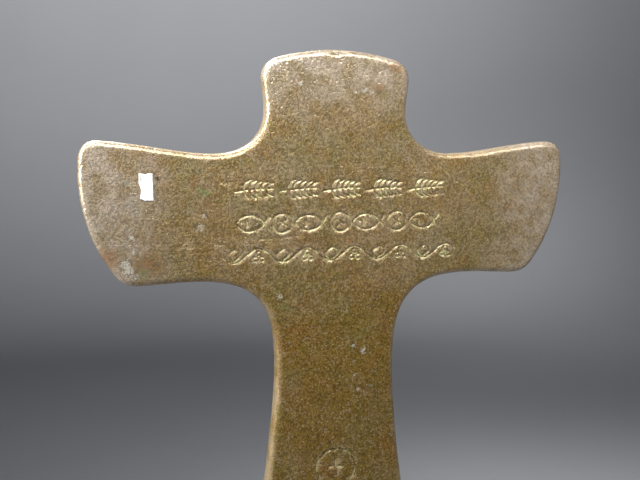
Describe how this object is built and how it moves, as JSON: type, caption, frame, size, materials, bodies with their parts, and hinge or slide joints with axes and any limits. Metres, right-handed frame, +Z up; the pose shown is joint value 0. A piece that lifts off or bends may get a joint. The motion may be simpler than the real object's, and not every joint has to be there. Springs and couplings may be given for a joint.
{
  "type": "altar cross",
  "caption": "Small standing altar cross in cast bronze: a flared plate cross with an engraved back and a relief front, bolted down to a separate rounded plinth with a felt sole.",
  "frame": {"origin": "middle of the underside of the felt sole, on the surface that the cross stands on", "axes": "+Z up to the crown, -Y the front with the small castings, +Y the engraved back, +X to the right seen from the front"},
  "size_m": [0.1122, 0.05, 0.166],
  "materials": {
    "cross_bronze": "sand-cast bronze with a brown and olive patina",
    "base_bronze": "sand-cast bronze with a brown patina, edges worn lighter",
    "relief_bronze": "cast bronze, high points rubbed bright, hollows dark",
    "zinc_steel": "zinc-plated steel",
    "felt": "dark green wool felt",
    "label_paper": "torn white paper, blank"
  },
  "bodies": {
    "root": {"cross_casting": "cross_bronze", "base_casting": "base_bronze", "host_disc": "relief_bronze", "chalice_relief": "relief_bronze", "wheat_relief": "relief_bronze", "vine_relief": "relief_bronze", "fish_upper": "relief_bronze", "fish_lower": "relief_bronze", "loaf_relief": "relief_bronze", "price_label_scrap": "label_paper", "threaded_stud": "zinc_steel", "flat_washer": "zinc_steel", "spring_washer": "zinc_steel", "hex_nut": "zinc_steel", "dowel_left": "zinc_steel", "dowel_right": "zinc_steel", "felt_sole": "felt"}
  },
  "joints": []
}
